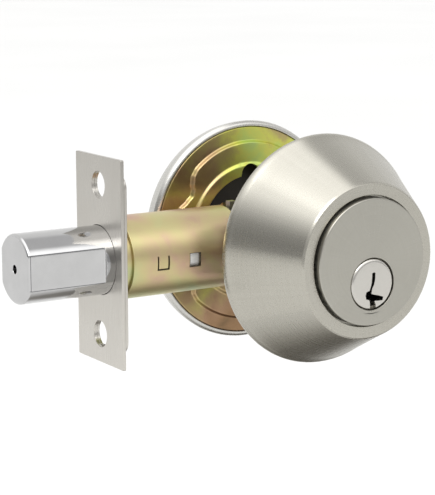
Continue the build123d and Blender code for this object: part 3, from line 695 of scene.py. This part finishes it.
rings += [bolt_ring(XF, R, F + 0.45), bolt_ring(XF, R, F + 0.9), bolt_ring(XF, R, F + 1.08)]
rings += [bolt_ring(XF + 0.05, R, F + 1.19), bolt_ring(XF + 0.16, R, 99), bolt_ring(XF + 0.3, R, 99)]
rings += [bolt_ring(x, R, 99) for x in (-60.0, -56.0, X1 - 0.6, X1 - 0.5)]
rings += [bolt_ring(X1, R - 0.5, 99), bolt_ring(X1, 1e-4, 99)]
bolt = loft("bolt_bar_round", rings, False)
finish_piece(bolt, "chrome", "bolt_group", "bolt")

# ------------------------------------------------------------------ inside: pressed plate
DIP = [(26.8, 132.0), (26.3, 137.0), (25.1, 141.5), (23.6, 145.5), (23.1, 149.5), (23.8, 154.0), (25.6, 163.0)]


def smooth(t):
    t = max(0.0, min(1.0, t))
    return t * t * (3 - 2 * t)


def outer_edge(a):
    if a <= DIP[0][1]:
        return 26.8
    for (r0, a0), (r1, a1) in zip(DIP, DIP[1:]):
        if a <= a1:
            return r0 + (r1 - r0) * smooth((a - a0) / (a1 - a0)) if r1 < r0 or a1 == 163.0 else r0 + (r1 - r0) * (a - a0) / (a1 - a0)
    return 25.6


def press(r, th):
    """Height of the pressing at a point of the plate, towards the door."""
    a = math.degrees(math.atan2(abs(math.sin(th)), -abs(math.cos(th))))
    d_out = outer_edge(a) - r
    d_end = (161.5 - a) * math.pi / 180 * r
    d_end2 = (158.5 - a) * math.pi / 180 * r
    h1 = 1.20 * smooth(min(d_out, d_end) / 0.78 + 0.08)
    h2 = 0.70 * smooth(min(20.5 - r, d_end2) / 1.15 + 0.08)
    return -(h1 + h2)


NT = 384
loops = []
steps = 72
for side in (0, 1):
    ts = range(steps + 1) if side == 0 else range(steps, -1, -1)
    for i in ts:
        loop = []
        for j in range(NT):
            th = 2 * math.pi * j / NT
            s, c = math.sin(th), math.cos(th)
            r_in = 16.6
            if (16.8 * c) ** 2 < 3.1 ** 2:
                r_in = max(r_in, 16.8 * abs(s) + math.sqrt(3.1 ** 2 - (16.8 * c) ** 2))
            lo_r, hi_r = r_in + 0.14, 30.7 - 0.14
            r = lo_r + (hi_r - lo_r) * i / steps
            y = 18.4 + press(r, th) + (1.0 if side else 0.0)
            loop.append((r * c, y, r * s))
        loops.append(loop)
    # rounded edge after the outer radius, or after the inner one
    for q in ((0.04, 0.10, 0.90), (0.0, 0.25, 0.75)):
        loop = []
        for j in range(NT):
            th = 2 * math.pi * j / NT
            s, c = math.sin(th), math.cos(th)
            if side == 0:
                r = 30.7 - q[0]
            else:
                r_in = 16.6
                if (16.8 * c) ** 2 < 3.1 ** 2:
                    r_in = max(r_in, 16.8 * abs(s) + math.sqrt(3.1 ** 2 - (16.8 * c) ** 2))
                r = r_in + q[0]
            loop.append((r * c, 18.4 + press(r, th) + (q[1] if side == 0 else q[2]), r * s))
        loops.append(loop)
    for q in ((0.0, 0.75, 0.25), (0.04, 0.90, 0.10)):
        loop = []
        for j in range(NT):
            th = 2 * math.pi * j / NT
            s, c = math.sin(th), math.cos(th)
            if side == 0:
                r = 30.7 - q[0]
            else:
                r_in = 16.6
                if (16.8 * c) ** 2 < 3.1 ** 2:
                    r_in = max(r_in, 16.8 * abs(s) + math.sqrt(3.1 ** 2 - (16.8 * c) ** 2))
                r = r_in + q[0]
            loop.append((r * c, 18.4 + press(r, th) + (q[1] if side == 0 else q[2]), r * s))
        loops.append(loop)
plate = loft("pressed_plate", loops, True, sharp=50)
boolean(plate, [prism_y("c", circle(2.25, sx * 21.0, 0, 48), 15, 24) for sx in (-1, 1)], sharp=50)
finish_piece(plate, "zinc_plate", "lock_case", "mounting_plate")

# ------------------------------------------------------------------ inside: rose and thumbturn
dish = spline_pts([(32.46, 19.60), (31.95, 22.40), (30.80, 25.00), (28.60, 27.10), (26.00, 27.90)], 7)
rose_o = (spline_pts([(30.82, 18.95), (30.84, 18.62), (30.98, 18.44), (31.20, 18.40), (31.55, 18.47), (31.95, 18.72), (32.28, 19.12), (32.46, 19.60)], 4)[:-1]
          + dish + [(25.9, 27.9), (22.0, 27.9)])
rose_i = fil([(7.0, 27.9), (7.0, 26.5), (25.6, 26.5), (28.4, 25.1), (29.9, 23.2), (30.4, 20.6), (30.4, 19.6), (30.82, 19.45), (30.82, 19.0)],
             [0.2, 0.15, 0.5, 0.5, 0.5, 0.3, 0.1, 0.05, 0], 3, closed=False)
rose_pts = [(r, y, 0.0) for r, y in rose_o]
rose_pts += [(8.2, 27.9, AXIS_Z), (7.2, 27.9, AXIS_Z), (7.05, 27.85, AXIS_Z), (7.0, 27.7, AXIS_Z), (7.0, 26.7, AXIS_Z), (7.0, 26.5, AXIS_Z), (8.2, 26.5, AXIS_Z), (22.0, 26.5, 0.0)]
rose_pts += [(r, y, 0.0) for r, y in rose_i if r > 22.0]
rose = turned("rose_shell", rose_pts, n=256)
finish_piece(rose, "satin_rose", "lock_case", "rose_cover")

grip_ctrl = [(-17.0, 0), (-15.6, 3.2), (-12.0, 4.4), (-6.0, 3.8), (0, 3.4), (6.0, 3.8), (12.0, 4.4), (15.6, 3.2),
             (17.0, 0), (15.6, -3.2), (12.0, -4.4), (6.0, -3.8), (0, -3.4), (-6.0, -3.8), (-12.0, -4.4), (-15.6, -3.2)]


def closed_spline(ctrl, per=10):
    out, n = [], len(ctrl)
    for i in range(n):
        p0, p1, p2, p3 = (Vector(ctrl[(i + d) % n]) for d in (-1, 0, 1, 2))
        for k in range(per):
            t = k / per
            q = 0.5 * ((2 * p1) + (p2 - p0) * t + (2 * p0 - 5 * p1 + 4 * p2 - p3) * t * t + (3 * p1 - p0 - 3 * p2 + p3) * t ** 3)
            out.append((q.x, q.y))
    return out


outline = closed_spline(grip_ctrl)[::-1]
sections = [(0.02, 30.4), (0.02, 31.6), (0.0, 33.0), (0.05, 38.0), (0.0, 44.0), (0.0, 46.2)]
for k in range(1, 7):
    a = math.pi / 2 * k / 6
    sections.append((1.7 * (1 - math.cos(a)), 46.3 + 1.7 * math.sin(a)))
grip_loops = [[(x, y, AXIS_Z + z) for x, z in offset_loop(outline, ins)] for ins, y in sections]
grip_loops.append([(x * 0.45, 48.0, AXIS_Z + z * 0.45) for x, z in outline])
grip = loft("thumb_grip", grip_loops, False, (True, True))
foot = turned("foot", fil([(0, 31.05), (6.02, 31.05), (6.02, 28.2), (11.0, 28.2), (11.0, 31.2), (0, 31.2)],
                          [0, 0, 0.15, 0.2, 0.9, 0], 5), zc=AXIS_Z, n=128)
boolean(grip, [foot], "UNION")
finish_piece(grip, "turn", "turn", "thumbturn")


# ------------------------------------------------------------------ stage, lights, camera
def card(name, centre, size, normal, strength, color=(1, 1, 1), glossy_only=True):
    """Flat studio card that only reflections see."""
    n = Vector(normal).normalized()
    q = n.to_track_quat("Z", "Y")
    me = bpy.data.meshes.new(name)
    w, h = size[0] / 2, size[1] / 2
    me.from_pydata([(-w, -h, 0), (w, -h, 0), (w, h, 0), (-w, h, 0)], [], [(0, 1, 2, 3)])
    o = bpy.data.objects.new(name, me)
    o.location = centre
    o.rotation_mode = "QUATERNION"
    o.rotation_quaternion = q
    scene.collection.objects.link(o)
    m = bpy.data.materials.new(name)
    m.use_nodes = True
    nt = m.node_tree
    nt.nodes.clear()
    e = nt.nodes.new("ShaderNodeEmission")
    e.inputs["Color"].default_value = (*color, 1)
    e.inputs["Strength"].default_value = strength
    out = nt.nodes.new("ShaderNodeOutputMaterial")
    nt.links.new(e.outputs[0], out.inputs["Surface"])
    me.materials.append(m)
    o.visible_camera = False
    o.visible_shadow = False
    if glossy_only:
        o.visible_diffuse = False
    o.visible_transmission = False
    return o


floor_me = bpy.data.meshes.new("floor")
floor_me.from_pydata([(-30, -30, -0.12), (30, -30, -0.12), (30, 30, -0.12), (-30, 30, -0.12)], [], [(0, 1, 2, 3)])
floor = bpy.data.objects.new("floor", floor_me)
scene.collection.objects.link(floor)
FM = Mat("pale_floor")
FM.set(Roughness=1.0, Emission_Strength=0.0)
FM.bsdf.inputs["Specular IOR Level"].default_value = 0.0
fn = FM.noise(FM.obj(), 3.0, 2.0, 0.5)
fc = FM.ramp(fn, [(0.3, (0.73, 0.73, 0.725)), (0.7, (0.75, 0.75, 0.745))])
FM.color(fc)
floor_me.materials.append(FM.m)

world = bpy.data.worlds.new("studio")
scene.world = world
world.use_nodes = True
wt = world.node_tree
wt.nodes.clear()


def wn(kind, **props):
    n = wt.nodes.new(kind)
    for k, v in props.items():
        setattr(n, k, v)
    return n


def wramp(v, stops, interp="EASE"):
    n = wn("ShaderNodeValToRGB")
    n.color_ramp.interpolation = interp
    r = n.color_ramp
    while len(r.elements) > 1:
        r.elements.remove(r.elements[-1])
    r.elements[0].position = stops[0][0]
    r.elements[0].color = (*([stops[0][1]] * 3), 1)
    for p, c in stops[1:]:
        e = r.elements.new(p)
        e.color = (c, c, c, 1)
    wt.links.new(v, n.inputs["Fac"])
    return n.outputs["Color"]


tc = wn("ShaderNodeTexCoord")
sep = wn("ShaderNodeSeparateXYZ")
wt.links.new(tc.outputs["Generated"], sep.inputs[0])
half = wn("ShaderNodeMath", operation="MULTIPLY_ADD")
wt.links.new(sep.outputs["X"], half.inputs[0])
half.inputs[1].default_value, half.inputs[2].default_value = 0.5, 0.5
# light from the left and overhead: dark near the horizon, a bright sky panel above
left = wramp(sep.outputs["Z"], [(0.00, 0.18), (0.24, 0.17), (0.42, 0.24), (0.56, 0.44), (0.70, 0.70), (0.795, 0.92), (0.812, 0.55), (0.83, 0.95), (1.0, 1.0)], "LINEAR")
right = wramp(sep.outputs["Z"], [(0.00, 0.42), (0.30, 0.46), (0.60, 0.46), (0.80, 0.36), (0.90, 0.36)], "LINEAR")
side = wramp(half.outputs[0], [(0.61, 0.0), (0.69, 1.0)], "EASE")
mixc = wn("ShaderNodeMix", data_type="RGBA")
wt.links.new(side, mixc.inputs[0])
wt.links.new(left, mixc.inputs[6])
wt.links.new(right, mixc.inputs[7])
# the room behind the camera is a plain grey card
fr = wn("ShaderNodeMath", operation="MULTIPLY_ADD")
wt.links.new(sep.outputs["Y"], fr.inputs[0])
fr.inputs[1].default_value, fr.inputs[2].default_value = -0.5, 0.5
front_f = wramp(fr.outputs[0], [(0.62, 0.0), (0.76, 1.0)], "EASE")
front_c = wramp(sep.outputs["Z"], [(0.0, 0.34), (0.25, 0.30), (0.50, 0.55), (0.62, 0.95), (1.0, 1.0)], "LINEAR")
mix2 = wn("ShaderNodeMix", data_type="RGBA")
wt.links.new(front_f, mix2.inputs[0])
wt.links.new(mixc.outputs[2], mix2.inputs[6])
wt.links.new(front_c, mix2.inputs[7])
# a white backdrop stands behind the object
bk = wn("ShaderNodeMath", operation="MULTIPLY_ADD")
wt.links.new(sep.outputs["Y"], bk.inputs[0])
bk.inputs[1].default_value, bk.inputs[2].default_value = 0.5, 0.5
back_f = wramp(bk.outputs[0], [(0.66, 0.0), (0.80, 1.0)], "EASE")
mix3 = wn("ShaderNodeMix", data_type="RGBA")
wt.links.new(back_f, mix3.inputs[0])
wt.links.new(mix2.outputs[2], mix3.inputs[6])
mix3.inputs[7].default_value = (0.50, 0.50, 0.495, 1)
bg = wn("ShaderNodeBackground")
bg.inputs["Strength"].default_value = 2.05
wt.links.new(mix3.outputs[2], bg.inputs["Color"])
white = wn("ShaderNodeBackground")
white.inputs["Color"].default_value = (1, 1, 1, 1)
white.inputs["Strength"].default_value = 1.0
lp = wn("ShaderNodeLightPath")
ms = wn("ShaderNodeMixShader")
wt.links.new(lp.outputs["Is Camera Ray"], ms.inputs[0])
wt.links.new(bg.outputs[0], ms.inputs[1])
wt.links.new(white.outputs[0], ms.inputs[2])
wo = wn("ShaderNodeOutputWorld")
wt.links.new(ms.outputs[0], wo.inputs["Surface"])

def shaded_card(name, centre, size, normal, reach, stops):
    """A reflection card whose brightness grows from its middle outwards."""
    o = card(name, centre, size, normal, 1.0)
    nt = o.data.materials[0].node_tree
    tcn = nt.nodes.new("ShaderNodeTexCoord")
    mp = nt.nodes.new("ShaderNodeMapping")
    mp.inputs["Scale"].default_value = (1 / reach[0], 1 / reach[1], 0.0)
    ln = nt.nodes.new("ShaderNodeVectorMath")
    ln.operation = "LENGTH"
    rp = nt.nodes.new("ShaderNodeValToRGB")
    rp.color_ramp.interpolation = "EASE"
    r = rp.color_ramp
    while len(r.elements) > 1:
        r.elements.remove(r.elements[-1])
    r.elements[0].position = stops[0][0]
    r.elements[0].color = (*stops[0][1], 1)
    for p, c in stops[1:]:
        r.elements.new(p).color = (*c, 1)
    nt.links.new(tcn.outputs["Object"], mp.inputs["Vector"])
    nt.links.new(mp.outputs[0], ln.inputs[0])
    nt.links.new(ln.outputs["Value"], rp.inputs["Fac"])
    em = next(n for n in nt.nodes if n.type == "EMISSION")
    nt.links.new(rp.outputs["Color"], em.inputs["Color"])
    return o


# the shaded ground under the lock, seen only in reflections
shaded_card("shaded_ground", (0.050, 0.020, -0.1185), (0.26, 0.13), (0, 0, 1), (0.125, 0.065),
            [(0.0, (0.07, 0.065, 0.055)), (0.35, (0.12, 0.11, 0.095)), (0.60, (0.34, 0.325, 0.30)), (0.80, (0.72, 0.71, 0.69)), (0.98, (0.98, 0.98, 0.97))])
shaded_card("side_flag", (-0.75, -0.46, -0.03), (0.34, 0.22), (0.85, 0.5, 0.0), (0.17, 0.11),
            [(0.0, (0.30, 0.30, 0.30)), (0.5, (0.40, 0.40, 0.40)), (0.95, (0.9, 0.9, 0.9))])


def area(name, loc, target, size, power, color=(1, 1, 1)):
    li = bpy.data.lights.new(name, "AREA")
    li.shape, li.size, li.size_y, li.energy, li.color = "RECTANGLE", size[0], size[1], power, color
    o = bpy.data.objects.new(name, li)
    o.location = loc
    o.rotation_mode = "QUATERNION"
    o.rotation_quaternion = (Vector(target) - Vector(loc)).to_track_quat("-Z", "Y")
    scene.collection.objects.link(o)
    o.visible_camera = False
    return o


area("soft_top", (-0.45, -0.55, 0.95), (-0.02, 0, 0), (0.6, 0.6), 4.0)

cam_data = bpy.data.cameras.new("camera")
cam = bpy.data.objects.new("camera", cam_data)
scene.collection.objects.link(cam)
scene.camera = cam
AZ, EL, ROLL = math.radians(-32.0), math.radians(10.42), math.radians(-0.2)
backv = Vector((math.sin(AZ) * math.cos(EL), -math.cos(AZ) * math.cos(EL), math.sin(EL)))
target = Vector((-22.0, 0.0, -0.45)) * S
cam.location = target + backv * 0.512
right_v = Vector((0, 0, 1)).cross(backv).normalized()
up_v = backv.cross(right_v).normalized()
r2 = right_v * math.cos(ROLL) + up_v * math.sin(ROLL)
u2 = -right_v * math.sin(ROLL) + up_v * math.cos(ROLL)

cam.rotation_mode = "QUATERNION"
cam.rotation_quaternion = Matrix((r2, u2, backv)).transposed().to_quaternion()
cam_data.sensor_width = 36.0
cam_data.lens = 36.0 * 1808.0 / 495.0
cam_data.clip_start, cam_data.clip_end = 0.01, 100.0
cam_data.dof.use_dof = False

scene.view_settings.view_transform = "Standard"
scene.view_settings.look = "None"
scene.view_settings.exposure = 0.0
scene.view_settings.gamma = 1.0
